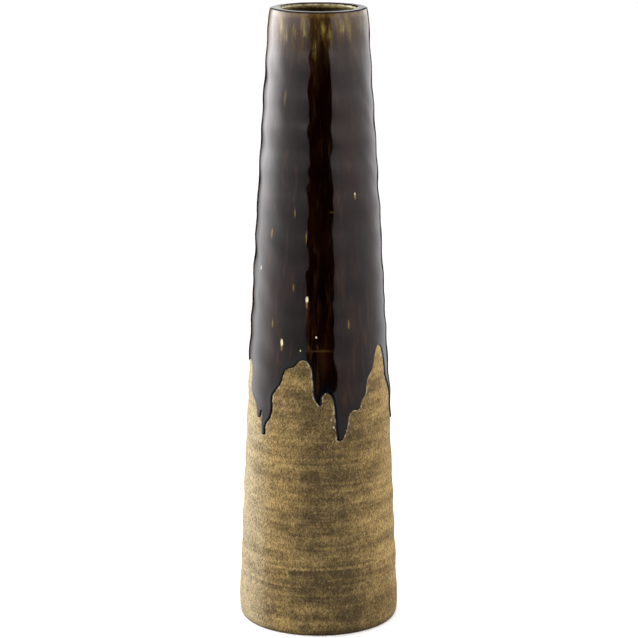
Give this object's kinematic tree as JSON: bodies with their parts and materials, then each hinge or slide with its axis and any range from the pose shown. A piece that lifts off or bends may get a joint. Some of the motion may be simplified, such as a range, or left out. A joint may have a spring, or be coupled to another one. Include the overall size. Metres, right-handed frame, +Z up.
{
  "type": "stoneware vase",
  "caption": "Tall tapered stoneware vase with a plain thick lip, a dark glaze that ends in long runs, and a bare mottled clay foot.",
  "frame": {"origin": "centre of the foot, on the surface that the vase stands on", "axes": "+Z up along the vase's own axis, -Y towards the side that the picture shows, +X to that view's right"},
  "size_m": [0.1307, 0.1308, 0.5],
  "materials": {
    "stoneware": "bare, wiped with dark oxide",
    "slip": "bare, matt",
    "dark_glaze": "glossy",
    "liner": "glossy"
  },
  "bodies": {
    "root": {"lower_section": "stoneware", "upper_section": "stoneware", "luting_slip": "slip", "outer_glaze": "dark_glaze", "liner_glaze": "liner"}
  },
  "joints": []
}
